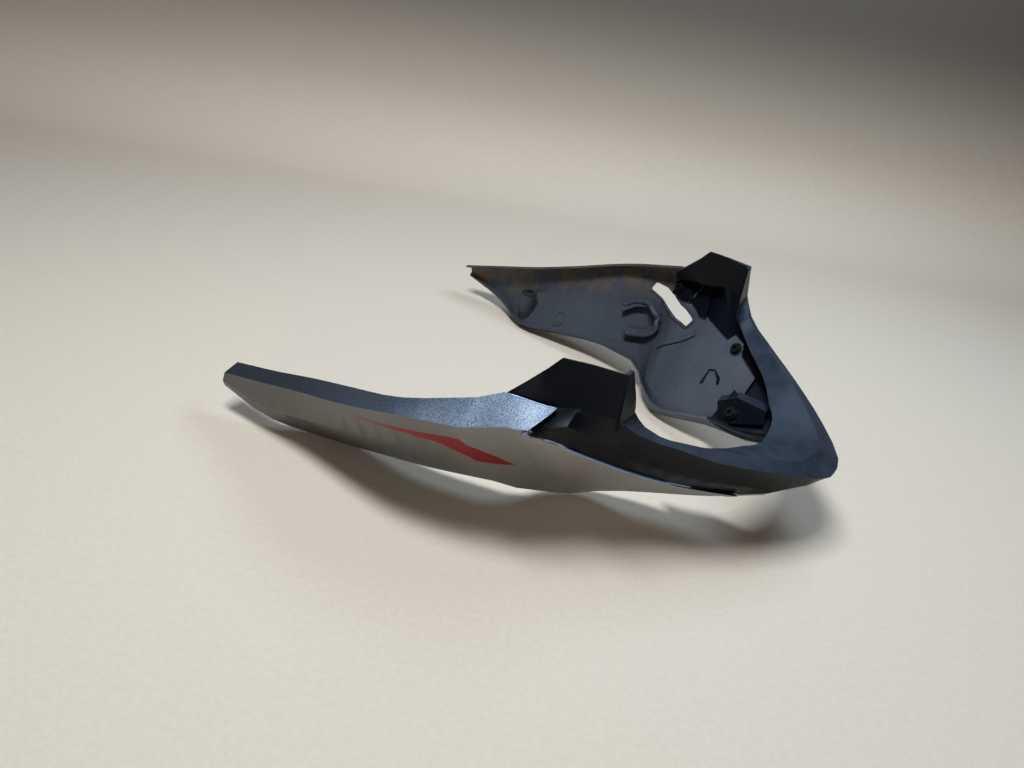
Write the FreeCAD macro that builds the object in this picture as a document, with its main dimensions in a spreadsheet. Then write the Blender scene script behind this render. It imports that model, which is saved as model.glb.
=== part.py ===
# Belly pan of a road motorcycle: two painted side panels joined at the nose by a black V-shaped cowl.
# Millimetres. +X points to the nose, +Y to the bike's left, +Z up. The origin is on the floor,
# midway along the part and on its plane of symmetry. The left half is drawn, the right half mirrored.
import FreeCAD, Part
import Sketcher
import math
import os

V = FreeCAD.Vector

doc = FreeCAD.newDocument("belly_pan")
sheet = doc.addObject("Spreadsheet::Sheet", "Sizes")
SIZES = {}


def put(alias, size):
    """Write one driving size into the sheet under its own alias."""
    SIZES[alias] = float(size)
    row = len(SIZES)
    sheet.set("A%d" % row, alias.replace("_", " "))
    sheet.set("B%d" % row, repr(float(size)))
    sheet.setAlias("B%d" % row, alias)
    return alias


def put_points(stem, points, first, second):
    """Write 2-D points, stretched by a share each way, and return their pairs of aliases."""
    pairs = []
    for number, (one, two) in enumerate(points):
        pairs.append((put("%s_%d_a" % (stem, number), round(one * first, 2)),
                      put("%s_%d_b" % (stem, number), round(two * second, 2))))
    return pairs


# Overall sizes. Every section below is drawn for a part of the drawn size and stretched to these.
overall_length = 446.0
overall_width = 412.0
overall_height = 147.0
put("overall_length", overall_length)
put("overall_width", overall_width)
put("overall_height", overall_height)
DRAWN = {"length": 446.0, "width": 412.0, "height": 147.0}
along = overall_length / DRAWN["length"]
across = overall_width / DRAWN["width"]
tall = overall_height / DRAWN["height"]


def slopes(places, values):
    """Slope of a smooth curve at each of its values."""
    steps = [(b - a) / (q - p) for a, b, p, q in zip(values, values[1:], places, places[1:])]
    result = [steps[0]]
    for number in range(1, len(values) - 1):
        before = places[number] - places[number - 1]
        after = places[number + 1] - places[number]
        result.append((steps[number - 1] * after + steps[number] * before) / (before + after))
    return result + [steps[-1]]


def smooth(rows, places, extra):
    """Rows of numbers with extra rows between each two, on smooth curves through the given rows."""
    columns = list(zip(*rows))
    leans = list(zip(*[slopes(places, column) for column in columns]))
    result = [rows[0]]
    for number in range(len(rows) - 1):
        gap = places[number + 1] - places[number]
        for step in range(1, extra + 1):
            t = step / (extra + 1)
            a, b = 2 * t ** 3 - 3 * t ** 2 + 1, t ** 3 - 2 * t ** 2 + t
            c, d = 3 * t ** 2 - 2 * t ** 3, t ** 3 - t ** 2
            result.append([a * p + b * gap * m + c * q + d * gap * n for p, q, m, n in zip(
                rows[number], rows[number + 1], leans[number], leans[number + 1])])
        result.append(rows[number + 1])
    return result


def flat(row):
    """A row of loose numbers and points as one list of numbers."""
    return [number for entry in row for number in (entry if isinstance(entry, tuple) else (entry,))]


def pairs_of(numbers):
    return list(zip(numbers[0::2], numbers[1::2]))


# General sizes
put("wall", 2.5)
put("rib_height", 3.2)
put("trim_reach", 260.0)

# Side panel: upright sections across the bike. Each has the top rim, the knee between the sloping
# top band and the side, the soft fold, the foot that the panel stands on and the turned-in lip,
# as distance out from the middle and height above the floor.
PANEL = [
    (-223, (168.5, 39), (182, 34.5), (184, 27.5), (182, 22.5), (178.5, 23.5)),
    (-172, (173.5, 53), (188, 48.5), (185.5, 25), (180, 12), (168, 13)),
    (-132, (176, 64.5), (192, 59.5), (184, 31), (156.5, 0), (144, 6)),
    (-91, (183, 77.5), (199, 71.5), (185, 39), (153.5, 6), (140, 13)),
    (-41, (191.5, 94.5), (206, 88.5), (185.5, 50), (150, 14.5), (136, 22)),
    (9, (180, 111.5), (198, 97), (170, 55), (136, 19), (124, 23.5)),
    (23, (171, 117.5), (190.5, 99.5), (141, 40), (124, 13), (114, 19)),
    (35, (168, 117), (185.5, 103), (104, 18), (103, 4), (94, 17)),
    (51, (163.5, 116), (182, 106), (92, 15.5), (86, 0), (79, 11)),
    (69, (158, 118), (168, 113.5), (82.5, 17.5), (76, 6), (70, 13)),
    (109, (124, 109), (131, 105.5), (68, 24), (65.5, 19.5), (60, 28)),
    (129, (109, 101), (115.5, 97.5), (60.5, 28), (58.5, 24), (55.5, 26.5)),
    (149, (91, 93), (98, 89.5), (52.5, 32.5), (50.5, 28.5), (47.5, 31)),
    (185, (57, 82), (64, 78.5), (43.5, 47), (41, 43), (38, 45.5)),
]
CORNERS = ("rim", "knee", "fold", "foot", "lip")
CREASE_FROM, CREASE_TO = 9, 35


def panel_run(low, high, extra):
    """Smooth sections of the panel between two places along the bike."""
    rows = [flat(row) for row in PANEL if low <= row[0] <= high]
    return smooth(rows, [row[0] for row in rows], extra)


# The pocket between the two creases keeps its straight runs; the rear and the front are smooth curves
panel_rows = panel_run(-300, CREASE_FROM, 2)[:-1] + panel_run(CREASE_FROM, CREASE_TO, 0) + panel_run(CREASE_TO, 300, 1)[1:]
panel_at = [put("panel_at_%d" % n, round(row[0] * along, 2)) for n, row in enumerate(panel_rows)]
panel_points = [dict(zip(CORNERS, put_points("panel_%d" % n, pairs_of(row[1:]), across, tall)))
                for n, row in enumerate(panel_rows)]

# Side view of the panel's front edge: arrow tip, notch, slot for the cowl's tongue, hidden flange
# behind the cowl, and the blade that runs forward to a point
front_edge = put_points("front_edge", [
    (57.3, 150), (57.3, 115.8), (49.5, 105.5), (51.5, 102.5), (58, 93.5), (66, 86), (96, 81.5),
    (101, 88), (112, 86), (115, 77), (134, 69), (130, 52), (126, 42), (149, 38.5), (169, 37.8),
    (184, 44.7), (215, 60), (215, 150)], along, tall)

# Side view of the raised lip along the front edge
lip_band = put_points("lip_band", [
    (49.5, 105.5), (69, 74.8), (89, 57), (109, 47.8), (128, 41), (149, 38.5), (169, 37.8), (184, 44.7),
    (169, 35), (149, 35.3), (128, 37.6), (108, 44.2), (87.2, 53.4), (66.8, 71.6), (45.5, 101.5)], along, tall)

# Slot through the left panel below the arrow
slot_outline = put_points("slot", [
    (-9, 77.5), (-5.5, 86.5), (7, 86.5), (21.5, 85), (40.5, 82), (55, 78), (50, 69), (22, 71.5)], along, tall)

# Hook-shaped rib inside each panel, open to the rear, and the low ridge in front of it
hook_line = put_points("hook", [
    (-29, 56), (-15, 66), (1, 71.5), (16, 66), (21, 57), (15, 47), (0, 40), (-13, 38)], along, tall)
put("hook_rib", 5)
put("hook_depth", 11)
ridge_line = put_points("ridge", [(28, 46), (35, 53), (46.5, 60), (55, 66.5), (61, 73)], along, tall)
put("ridge_rib", 3)
put("ridge_depth", 4.5)

# Shallow three-cornered pocket with a tongue, moulded into the inner face
pocket_outline = put_points("pocket", [(88, 43.5), (91.5, 57), (97.5, 59), (105, 55.5), (106, 51)], along, tall)
tongue_outline = put_points("tongue", [(91.5, 43), (93, 54), (97.5, 56.5), (101.5, 53.5), (104, 48.5)], along, tall)
put("pocket_floor", 1.3)

# Rear mount: upright boss with a rubber grommet and a steel sleeve
put("mount_x", -136.5 * along)
put("mount_y", 167 * across)
put("mount_top", 33 * tall)
put("mount_deep", 13)
put("boss_across", 18)
put("boss_tall", 32)
put("boss_rib", 3)
put("grommet_across", 13)
put("grommet_flange", 16.5)
put("grommet_flange_thick", 2)
put("sleeve_across", 9)
put("sleeve_bore", 6.5)
put("sleeve_stand", 1)

# Screws: place in side view, and depth of the seat below the panel's skin
SCREWS = [("tab", 29.5 * along, 90 * tall, 7.9), ("arm", 109 * along, 79 * tall, 3.2),
          ("bracket", 134 * along, 37.6 * tall, 13.4)]
for name, at_x, at_z, depth in SCREWS:
    put("screw_%s_x" % name, at_x)
    put("screw_%s_z" % name, at_z)
    put("screw_%s_seat" % name, depth)

# Screws: flanged heads with a hexagon socket
put("head_across", 8.4)
put("head_tall", 3.2)
put("flange_across", 11)
put("flange_tall", 1.2)
put("shank_across", 4)
put("socket_across", 3.4)
put("socket_deep", 2)
put("bore_across", 4.4)
put("stud_across", 8)
put("stud_hole", 9)
put("pad_across", 12.5)
put("shank_long", 6)

# Plain raised ring inside the panel's foot, by its place along the bike and out from the middle
put("ring_x", -93 * along)
put("ring_y", 163 * across)
put("ring_across", 13)
put("ring_rib", 1.4)
put("ring_depth", 3.3)

# Cowl: upright sections across its arms, fanned round the nose. Each stands at a point of the outer
# top crease and looks inward; points are distance in from that crease and height above the floor:
# lower edge, brow, outer crease, ridge, inner edge of the ledge.
FAN = [
    (223, 0, 180, (6.5, 57), (3, 60.5), (0, 64), (16.5, 73), (56, 66)),
    (221, 16.3, 182, (9, 56.5), (4, 60), (0, 64), (18, 73), (54, 69)),
    (202.5, 44.7, 195, (17, 44.5), (6, 56), (0, 71), (13, 76.5), (42.5, 72.5)),
    (178, 72.5, 226, (27.2, 39.4), (11.5, 57), (0, 79), (10.5, 83), (34, 75)),
    (154.3, 96, 237, (32.5, 41.5), (14, 61), (0, 86), (10.5, 89.5), (25.5, 81)),
    (130, 114.8, 246, (33.2, 46), (14, 68), (0, 95), (7, 96.5), (20, 88)),
    (107, 135, 259, (36.5, 52.8), (16, 77), (0, 105), (6, 104.5), (20.5, 101)),
    (95, 149.5, 270, (45.5, 55), (21.5, 84), (0, 118), (9.5, 112), (29.5, 112)),
]


def fan_run(rows, extra):
    """Smooth sections of the cowl round the nose, placed by the way along its outer top crease."""
    rows = [flat(row) for row in rows]
    way = [0.0]
    for before, after in zip(rows, rows[1:]):
        way.append(way[-1] + math.hypot(after[0] - before[0], after[1] - before[1]))
    return smooth(rows, way, extra)


def put_fans(stem, rows):
    """Write fan sections stretched to the overall sizes; returns their planes and points."""
    fans = []
    for number, row in enumerate(rows):
        inward = V(math.cos(math.radians(row[2])) * along, math.sin(math.radians(row[2])) * across, 0)
        place = (put("%s_x_%d" % (stem, number), round(row[0] * along, 2)),
                 put("%s_y_%d" % (stem, number), round(row[1] * across, 2)))
        turn = math.degrees(math.atan2(inward.y, inward.x))
        fans.append((place, turn, put_points("%s_%d" % (stem, number), pairs_of(row[3:]), inward.Length, tall)))
    return fans


upper_fans = put_fans("fan", fan_run(FAN, 1))

# Cowl's turned-in bottom flange: inner edge, foot and the joint to the side wall, at the same fans
FLANGE = [
    (0, (15, 59), (7, 57.5), (3.5, 61.5)),
    (1, (18, 59), (9.5, 57), (4.5, 61.5)),
    (2, (28, 48), (21.8, 42.8), (11, 57)),
    (3, (45, 40), (39.5, 35.5), (23, 51)),
    (4, (56, 35), (51, 30.5), (30, 52)),
]
FLANGE_END = (140, 106.5, 242, (62, 34), (56.5, 29), (35, 57))
flange_rows = [(*FAN[row[0]][:3], row[3], row[2], row[1]) for row in FLANGE]
flange_rows.append((*FLANGE_END[:3], FLANGE_END[5], FLANGE_END[4], FLANGE_END[3]))
lower_fans = put_fans("flange", fan_run(flange_rows, 1))

# Cowl's upright tab, upright sections across the bike: top edge, bend, knee, lower edge
TAB = [
    (19, (170.5, 111.5), (175.5, 105), (183.5, 98), (176, 85)),
    (33, (161.5, 126), (167.5, 109.5), (178, 101), (165, 87)),
    (43, (154.5, 137), (161.5, 113), (176, 102.5), (162, 89.5)),
    (50, (152, 146), (158.5, 113), (169, 108.3), (173.5, 104.6)),
    (51.5, (151.7, 146.1), (158.2, 113.3), (170, 107), (182, 102.8)),
    (59, (150, 146.5), (156.5, 115), (173.5, 107.5), (163.5, 92.5)),
    (69, (147.5, 147), (155, 118), (167.5, 110.5), (138.5, 76)),
    (95, (142, 147), (149.5, 118), (128, 84), (104, 55)),
]
tab_at = [put("tab_at_%d" % n, row[0] * along) for n, row in enumerate(TAB)]
tab_points = [put_points("tab_%d" % n, row[1:], across, tall) for n, row in enumerate(TAB)]
tab_front = put_points("tab_front", [(92, 170), (92, 147), (94.5, 116), (130, 116), (130, 170)], along, tall)

# The tab's front return: its shape seen from the front, and its slant seen from the side
tab_return = put_points("tab_return", [(141.5, 147), (149, 118), (149, 110), (120.5, 110), (124, 125), (134, 147)],
                        across, tall)
return_slant = put_points("return_slant", [(89.5, 147), (92, 147), (95.6, 116), (95.6, 100), (92.8, 100), (92.8, 114)],
                          along, tall)

# The cowl's backing behind the notch, in side view
backing_outline = put_points("backing", [(41, 90), (46, 102), (51, 105), (58, 104), (64, 96), (66, 86), (58, 84)],
                             along, tall)

# Cowl's box bracket behind each arm, in side view
bracket_outline = put_points("bracket", [(113, 46), (122, 33), (158, 51.5), (156, 60), (128, 56)], along, tall)
bracket_inside = put_points("bracket_inside", [(116, 46), (123, 36), (155.5, 53), (154, 57.5), (129, 53.5)], along, tall)
put("bracket_depth", 13)
put("return_from", 85 * along)
put("return_reach", 15 * along)

doc.recompute()


def size(alias):
    """The number that the sheet holds for an alias."""
    return SIZES[alias]


def ref(alias):
    return "Sizes." + alias


def upright(at_x):
    """Placement of a section across the bike: local X is +Y, local Y is +Z."""
    return FreeCAD.Placement(V(at_x, 0, 0), FreeCAD.Rotation(V(0, 1, 0), V(0, 0, 1), V(1, 0, 0), "ZXY"))


def fan_plane(at_x, at_y, turn):
    """Placement of a cowl section: local X points inward along the turn, local Y is +Z."""
    inward = V(math.cos(math.radians(turn)), math.sin(math.radians(turn)), 0)
    up = V(0, 0, 1)
    return FreeCAD.Placement(V(at_x, at_y, 0), FreeCAD.Rotation(inward, up, inward.cross(up), "ZXY"))


SIDE_VIEW = FreeCAD.Placement(V(0, 0, 0), FreeCAD.Rotation(V(1, 0, 0), 90))


def offset_points(points, depth):
    """First guess for a line that runs beside the points, to the right of their direction."""
    normals = []
    for start, end in zip(points, points[1:]):
        run = (end - start).normalize()
        normals.append(V(run.y, -run.x, 0))
    result = [points[0] + normals[0] * depth]
    for before, after, corner in zip(normals, normals[1:], points[1:-1]):
        mean = (before + after).normalize()
        result.append(corner + mean * (depth / max(mean.dot(before), 0.3)))
    result.append(points[-1] + normals[-1] * depth)
    return result


def add_line(sketch, start, end, construction=False):
    return sketch.addGeometry(Part.LineSegment(start, end), construction)


def add_chain(sketch, points, construction=False):
    """A run of joined lines; returns their numbers in the sketch."""
    edges = [add_line(sketch, start, end, construction) for start, end in zip(points, points[1:])]
    for before, after in zip(edges, edges[1:]):
        sketch.addConstraint(Sketcher.Constraint("Coincident", before, 2, after, 1))
    return edges


def bind_point(sketch, edge, end, pair, current):
    """Tie one end of an edge to two cells of the sheet."""
    across = sketch.addConstraint(Sketcher.Constraint("DistanceX", -1, 1, edge, end, current.x))
    up = sketch.addConstraint(Sketcher.Constraint("DistanceY", -1, 1, edge, end, current.y))
    sketch.setExpression("Constraints[%d]" % across, ref(pair[0]))
    sketch.setExpression("Constraints[%d]" % up, ref(pair[1]))


def bind_chain(sketch, edges, pairs, points):
    bind_point(sketch, edges[0], 1, pairs[0], points[0])
    for edge, pair, point in zip(edges, pairs[1:], points[1:]):
        bind_point(sketch, edge, 2, pair, point)


def bind_depth(sketch, edges, skin, depth, formula):
    """Hold each edge parallel to its skin line at a depth given by a formula."""
    for edge, base in zip(edges, skin):
        sketch.addConstraint(Sketcher.Constraint("Parallel", base, edge))
        held = sketch.addConstraint(Sketcher.Constraint("Distance", edge, 1, base, abs(depth)))
        sketch.setExpression("Constraints[%d]" % held, formula)


def strip_sketch(name, placement, pairs, near, far):
    """A closed strip along a skin line. near and far are (depth, formula); near None is the skin itself."""
    sketch = doc.addObject("Sketcher::SketchObject", name)
    sketch.Placement = placement
    points = [V(size(a), size(b), 0) for a, b in pairs]
    skin = add_chain(sketch, points, construction=near is not None)
    near_points = points if near is None else offset_points(points, near[0])
    near_edges = skin if near is None else add_chain(sketch, near_points)
    far_points = offset_points(points, far[0])
    far_edges = add_chain(sketch, far_points)
    bind_chain(sketch, skin, pairs, points)
    if near is not None:
        bind_depth(sketch, near_edges, skin, near[0], near[1])
    bind_depth(sketch, far_edges, skin, far[0], far[1])
    for which, side, corner in ((0, 1, 0), (-1, 2, -1)):
        cap = add_line(sketch, near_points[corner], far_points[corner])
        sketch.addConstraint(Sketcher.Constraint("Coincident", cap, 1, near_edges[which], side))
        sketch.addConstraint(Sketcher.Constraint("Coincident", cap, 2, far_edges[which], side))
        sketch.addConstraint(Sketcher.Constraint("Perpendicular", cap, skin[which]))
        if near is not None:
            sketch.addConstraint(Sketcher.Constraint("PointOnObject", skin[which], side, cap))
    return sketch


def outline_sketch(name, placement, pairs):
    """A closed outline through points of the sheet."""
    sketch = doc.addObject("Sketcher::SketchObject", name)
    sketch.Placement = placement
    points = [V(size(a), size(b), 0) for a, b in pairs]
    edges = [add_line(sketch, start, end) for start, end in zip(points, points[1:] + points[:1])]
    for before, after in zip(edges, edges[1:] + edges[:1]):
        sketch.addConstraint(Sketcher.Constraint("Coincident", before, 2, after, 1))
    for edge, pair, point in zip(edges, pairs, points):
        bind_point(sketch, edge, 1, pair, point)
    return sketch


def feature(kind, name, **properties):
    made = doc.addObject(kind, name)
    for key, value in properties.items():
        setattr(made, key, value)
    return made


def loft(name, sections):
    return feature("Part::Loft", name, Sections=sections, Solid=True, Ruled=True, Closed=False)


def side_prism(name, pairs):
    """A prism through the left half of the part from a side-view outline."""
    base = outline_sketch(name + "_outline", SIDE_VIEW, pairs)
    prism = feature("Part::Extrusion", name, Base=base, DirMode="Custom", Dir=V(0, 1, 0), Solid=True)
    prism.setExpression("LengthFwd", ref("trim_reach"))
    return prism


def cut(name, base, tool):
    return feature("Part::Cut", name, Base=base, Tool=tool)


def common(name, base, tool):
    return feature("Part::Common", name, Base=base, Tool=tool)


def fuse(name, shapes):
    return feature("Part::MultiFuse", name, Shapes=shapes, Refine=True)


def side_frame(at_x, at_z, depth):
    """Point on the panel's side at a depth below its skin, and the direction into the part."""
    for number in range(len(panel_at) - 1):
        start, end = size(panel_at[number]), size(panel_at[number + 1])
        if start <= at_x <= end:
            break
    share = (at_x - start) / (end - start)
    corners = []
    for corner in ("knee", "fold"):
        before = V(start, *(size(alias) for alias in panel_points[number][corner]))
        after = V(end, *(size(alias) for alias in panel_points[number + 1][corner]))
        corners.append((before, after))
    knee = corners[0][0] + (corners[0][1] - corners[0][0]) * share
    fold = corners[1][0] + (corners[1][1] - corners[1][0]) * share
    down = (at_z - knee.z) / (fold.z - knee.z)
    point = knee + (fold - knee) * down
    along_knee = (corners[0][1] - corners[0][0])
    along_fold = (corners[1][1] - corners[1][0])
    along = along_knee + (along_fold - along_knee) * down
    inward = along.cross(fold - knee).normalize()
    if inward.y > 0:
        inward = inward * -1
    return point + inward * depth, inward


hidden = []


def inner_layer(name, low, high, corners, near, far):
    """A layer that follows chosen edges of the panel's section between two places, between two depths."""
    sections = []
    for number, row in enumerate(panel_rows):
        if not low <= row[0] <= high:
            continue
        pairs = [panel_points[number][corner] for corner in corners]
        sketch = strip_sketch("%s_%d" % (name, number), upright(size(panel_at[number])), pairs, near, far)
        sketch.setExpression("Placement.Base.x", ref(panel_at[number]))
        sections.append(sketch)
    return loft(name, sections)


def line_prism(name, pairs, width):
    """A prism through the left half of the part from a bent line in side view and its width."""
    base = strip_sketch(name + "_outline", SIDE_VIEW, pairs, None, (size(width), ref(width)))
    prism = feature("Part::Extrusion", name, Base=base, DirMode="Custom", Dir=V(0, 1, 0), Solid=True)
    prism.setExpression("LengthFwd", ref("trim_reach"))
    return prism


def rod(name, frame, across, start, end):
    """A cylinder on the axis of a frame, from one depth to another (given as formulas)."""
    point, inward = frame
    made = doc.addObject("Part::Cylinder", name)
    made.setExpression("Radius", ref(across) + " / 2")
    made.Height = end - start
    made.Placement = FreeCAD.Placement(point + inward * start, FreeCAD.Rotation(V(0, 0, 1), inward))
    return made


# Side panel skin
panel_sections = []
for number, corners in enumerate(panel_points):
    section = strip_sketch("panel_section_%d" % number, upright(size(panel_at[number])), list(corners.values()), None,
                           (size("wall"), ref("wall")))
    section.setExpression("Placement.Base.x", ref(panel_at[number]))
    panel_sections.append(section)
panel_skin = loft("panel_skin", panel_sections)
panel_trimmed = cut("panel_trimmed", panel_skin, side_prism("front_cutter", front_edge))

# Raised lip along the front edge
lip_layer = inner_layer("lip_layer", 35, 185, ("knee", "fold"), (-size("rib_height"), ref("rib_height")), (0.5, "0.5"))
front_lip = common("front_lip", lip_layer, side_prism("lip_prism", lip_band))

# Hook rib and ridge on the inner face
hook_layer = inner_layer("hook_layer", -45, 51, ("knee", "fold", "foot"), (2.2, ref("wall") + " - 0.3"),
                         (size("hook_depth"), ref("hook_depth")))
hook = common("hook", hook_layer, line_prism("hook_prism", hook_line, "hook_rib"))
ridge_layer = inner_layer("ridge_layer", 9, 69, ("knee", "fold"), (2.2, ref("wall") + " - 0.3"),
                          (size("ridge_depth"), ref("ridge_depth")))
ridge = common("ridge", ridge_layer, line_prism("ridge_prism", ridge_line, "ridge_rib"))

# Rear mount boss with its web to the side wall
boss_rod = doc.addObject("Part::Cylinder", "boss_rod")
boss_rod.setExpression("Radius", ref("boss_across") + " / 2")
boss_rod.setExpression("Height", ref("boss_tall"))
boss_rod.setExpression("Placement.Base.x", ref("mount_x"))
boss_rod.setExpression("Placement.Base.y", ref("mount_y"))
boss_rod.setExpression("Placement.Base.z", ref("mount_top") + " - " + ref("boss_tall"))
boss_web = doc.addObject("Part::Box", "boss_web")
boss_web.Length = size("boss_rib")
boss_web.setExpression("Length", ref("boss_rib"))
boss_web.Width = 30
boss_web.setExpression("Height", ref("boss_tall") + " - 6")
boss_web.setExpression("Placement.Base.x", ref("mount_x") + " - " + ref("boss_rib") + " / 2")
boss_web.setExpression("Placement.Base.y", ref("mount_y"))
boss_web.setExpression("Placement.Base.z", ref("mount_top") + " - " + ref("boss_tall"))
boss_layer = inner_layer("boss_layer", -172, -91, ("knee", "fold", "foot"), (0.8, "0.8"), (30, "30"))
boss = common("boss", fuse("boss_blank", [boss_rod, boss_web]), boss_layer)
boss_bore = doc.addObject("Part::Cylinder", "boss_bore")
boss_bore.setExpression("Radius", ref("grommet_across") + " / 2")
boss_bore.Height = 40
boss_bore.setExpression("Placement.Base.x", ref("mount_x"))
boss_bore.setExpression("Placement.Base.y", ref("mount_y"))
boss_bore.setExpression("Placement.Base.z", ref("mount_top") + " - " + ref("mount_deep"))

# Screw seats: which piece carries the threaded stud and which is clamped over it
frames = {name: side_frame(at_x, at_z, 0) for name, at_x, at_z, depth in SCREWS}
seats = {name: depth for name, at_x, at_z, depth in SCREWS}
panel_studs = [rod("stud_" + name, frames[name], "stud_across", 2.0, seats[name] - 0.1) for name in ("tab", "bracket")]
panel_pad = rod("pad_arm", frames["arm"], "pad_across", 1.0, seats["arm"])
cowl_stud = rod("stud_arm", frames["arm"], "stud_across", -4.4, seats["arm"] - 0.1)
cowl_pads = [rod("pad_tab", frames["tab"], "pad_across", 4.2, seats["tab"]),
             rod("pad_bracket", frames["bracket"], "pad_across", 11.0, seats["bracket"])]
bores = {name: rod("bore_" + name, frames[name], "bore_across", seats[name] - 7.5, seats[name] + 8) for name in seats}
stud_bore_tab = rod("stud_bore_tab", frames["tab"], "bore_across", 1.3, seats["tab"] + 8)
stud_holes = {name: rod("stud_hole_" + name, frames[name], "stud_hole", 2.0, seats[name] + 8) for name in ("tab", "bracket")}
arm_hole = rod("stud_hole_arm", frames["arm"], "stud_hole", -1.0, seats["arm"] + 8)

# Shallow pocket, and the plain ring inside the foot
pocket_layer = inner_layer("pocket_layer", 69, 129, ("knee", "fold"), (size("pocket_floor"), ref("pocket_floor")),
                           (6, "6"))
pocket_shape = cut("pocket_shape", side_prism("pocket_prism", pocket_outline), side_prism("tongue_prism", tongue_outline))
pocket = common("pocket", pocket_layer, pocket_shape)
ring_outside = doc.addObject("Part::Cylinder", "ring_outside")
ring_inside = doc.addObject("Part::Cylinder", "ring_inside")
ring_outside.setExpression("Radius", ref("ring_across") + " / 2")
ring_inside.setExpression("Radius", ref("ring_across") + " / 2 - " + ref("ring_rib"))
for made in (ring_outside, ring_inside):
    made.Height = 60
    made.setExpression("Placement.Base.x", ref("ring_x"))
    made.setExpression("Placement.Base.y", ref("ring_y"))
ring_layer = inner_layer("ring_layer", -132, -55, ("fold", "foot"), (2.0, "2"), (size("ring_depth"), ref("ring_depth")))
ring = common("ring", cut("ring_tube", ring_outside, ring_inside), ring_layer)

# Panel, common to both sides
panel_body = fuse("panel_body", [panel_trimmed, front_lip, hook, ridge, boss, ring, panel_pad] + panel_studs)
panel_cutters = fuse("panel_cutters", [boss_bore, pocket, stud_bore_tab, bores["bracket"], arm_hole])
panel_left = cut("panel_left_without_slot", panel_body, panel_cutters)
panel_left_final = cut("side_panel_left", panel_left, side_prism("slot_prism", slot_outline))
panel_right = feature("Part::Mirroring", "side_panel_right", Source=panel_left, Normal=V(0, 1, 0), Base=V(0, 0, 0))

# Cowl: top and side wall of the left half


def fan_sections(name, fans, depth):
    sections = []
    for number, (place, turn, pairs) in enumerate(fans):
        section = strip_sketch("%s_%d" % (name, number), fan_plane(size(place[0]), size(place[1]), turn), pairs, None,
                               (depth, ref("wall")))
        section.setExpression("Placement.Base.x", ref(place[0]))
        section.setExpression("Placement.Base.y", ref(place[1]))
        sections.append(section)
    return sections


cowl_upper = loft("cowl_upper", fan_sections("fan_section", upper_fans, size("wall")))

# Cowl: turned-in bottom flange
cowl_lower = loft("cowl_lower", fan_sections("flange_section", lower_fans, -size("wall")))

# Cowl: upright tab with its front return
tab_sections = []
for number, pairs in enumerate(tab_points):
    section = strip_sketch("tab_section_%d" % number, upright(size(tab_at[number])), pairs, None,
                           (size("wall"), ref("wall")))
    section.setExpression("Placement.Base.x", ref(tab_at[number]))
    tab_sections.append(section)
tab_wall = cut("tab_wall", loft("tab_skin", tab_sections), side_prism("tab_front_cutter", tab_front))
return_outline = outline_sketch("tab_return_outline", upright(size("return_from")), tab_return)
return_outline.setExpression("Placement.Base.x", ref("return_from"))
return_block = feature("Part::Extrusion", "return_block", Base=return_outline, DirMode="Normal", Solid=True)
return_block.setExpression("LengthFwd", ref("return_reach"))
tab_return_plate = common("tab_return_plate", return_block, side_prism("return_prism", return_slant))

# Cowl: backing behind the notch in the panel
backing_layer = inner_layer("backing_layer", 35, 69, ("knee", "fold"), (3.1, ref("wall") + " + 0.6"), (5.3, ref("wall") + " + 2.8"))
backing = common("backing", backing_layer, side_prism("backing_prism", backing_outline))

# Cowl: box bracket
bracket_layer = inner_layer("bracket_layer", 109, 185, ("knee", "fold"), (3.0, ref("wall") + " + 0.5"),
                            (size("bracket_depth"), ref("bracket_depth")))
bracket_block = common("bracket_block", bracket_layer, side_prism("bracket_prism", bracket_outline))
hollow_layer = inner_layer("hollow_layer", 109, 185, ("knee", "fold"), (2.8, ref("wall") + " + 0.3"),
                           (size("bracket_depth") - 2.5, ref("bracket_depth") + " - " + ref("wall")))
bracket_hollow = common("bracket_hollow", hollow_layer, side_prism("bracket_hollow_prism", bracket_inside))
bracket = cut("bracket", bracket_block, bracket_hollow)

# Cowl: both halves in one piece
cowl_half = fuse("cowl_half", [cowl_upper, cowl_lower, tab_wall, tab_return_plate, backing, bracket, cowl_stud] + cowl_pads)
cowl_cutters = fuse("cowl_cutters", [stud_holes["tab"], stud_holes["bracket"], bores["arm"]])
cowl_left = cut("cowl_left_half", cowl_half, cowl_cutters)
cowl_right = feature("Part::Mirroring", "cowl_right_half", Source=cowl_left, Normal=V(0, 1, 0), Base=V(0, 0, 0))
cowl = fuse("centre_cowl", [cowl_left, cowl_right])


def ring_part(name, across, bore, bottom, top):
    """An upright tube on the rear mount's axis; bottom and top are formulas for its height."""
    outside = doc.addObject("Part::Cylinder", name + "_outside")
    inside = doc.addObject("Part::Cylinder", name + "_inside")
    for made, wide, low, high in ((outside, across, bottom, top), (inside, bore, bottom + " - 1", top + " + 1")):
        made.setExpression("Radius", ref(wide) + " / 2")
        made.setExpression("Height", "(%s) - (%s)" % (high, low))
        made.setExpression("Placement.Base.x", ref("mount_x"))
        made.setExpression("Placement.Base.y", ref("mount_y"))
        made.setExpression("Placement.Base.z", low)
    return cut(name, outside, inside)


# Rear mount: rubber grommet and steel sleeve
socket_floor = ref("mount_top") + " - " + ref("mount_deep")
flange_top = ref("mount_top") + " + " + ref("grommet_flange_thick")
grommet_tube = ring_part("grommet_tube", "grommet_across", "sleeve_across", socket_floor, flange_top)
grommet_rim = ring_part("grommet_rim", "grommet_flange", "sleeve_across", ref("mount_top"), flange_top)
grommet = fuse("rear_grommet_left", [grommet_tube, grommet_rim])
sleeve = ring_part("rear_sleeve_left", "sleeve_across", "sleeve_bore", socket_floor,
                   flange_top + " + " + ref("sleeve_stand"))


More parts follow.
